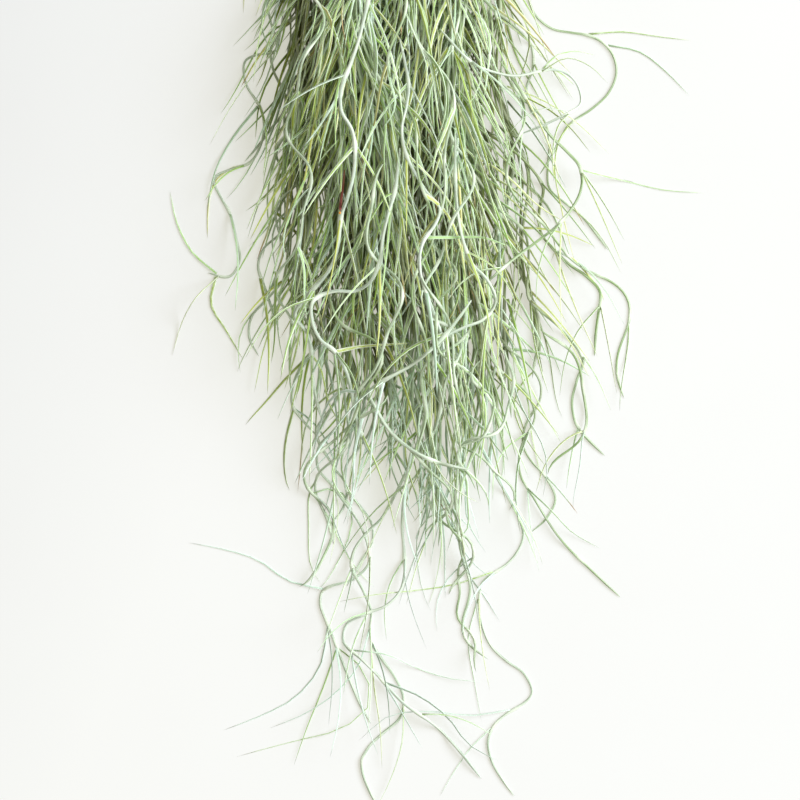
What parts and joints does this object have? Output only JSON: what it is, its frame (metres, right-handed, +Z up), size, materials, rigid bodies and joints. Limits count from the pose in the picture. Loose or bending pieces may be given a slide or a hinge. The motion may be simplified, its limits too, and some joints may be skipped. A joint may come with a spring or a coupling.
{
  "type": "spanish moss bunch",
  "caption": "Picked bunch of spanish moss lying down: a dense hank of thread-like leafy stems, gathered at one end and thinning out to loose curling tips.",
  "frame": {"origin": "on the surface that the bunch lies on, at the centre of its bounding box", "axes": "+Z up; +Y along the bunch, from its free tips towards its gathered end; +X to the right, seen from above with the free tips towards the viewer"},
  "size_m": [0.242, 0.4551, 0.0541],
  "materials": {
    "matted_moss": "dull, scurfy silver-green",
    "single_strands": "dull, scurfy silver-grey"
  },
  "bodies": {
    "root": {"tress_01": "matted_moss", "tress_02": "matted_moss", "tress_03": "matted_moss", "tress_04": "matted_moss", "tress_05": "matted_moss", "tress_06": "matted_moss", "tress_07": "matted_moss", "tress_08": "matted_moss", "tress_09": "matted_moss", "tress_10": "matted_moss", "tress_11": "matted_moss", "tress_12": "matted_moss", "tress_13": "matted_moss", "tress_14": "matted_moss", "strand_fringe_01": "single_strands", "strand_fringe_02": "single_strands", "strand_fringe_03": "single_strands", "strand_fringe_04": "single_strands", "strand_fringe_05": "single_strands", "strand_fringe_06": "single_strands", "strand_fringe_07": "single_strands", "strand_fringe_08": "single_strands", "strand_fringe_09": "single_strands", "strand_fringe_10": "single_strands", "strand_fringe_11": "single_strands", "strand_tail_left": "single_strands", "strand_tail_middle": "single_strands", "strand_tail_right": "single_strands", "strand_tail_inner": "single_strands", "strand_edge_left": "single_strands", "strand_edge_right": "single_strands", "strand_hook_right": "single_strands", "strand_loop_right": "single_strands", "strand_low_right": "single_strands", "strand_front_left": "single_strands", "strand_front_right": "single_strands", "strand_front_loop": "single_strands", "strand_front_middle": "single_strands", "strand_front_low": "single_strands"}
  },
  "joints": []
}
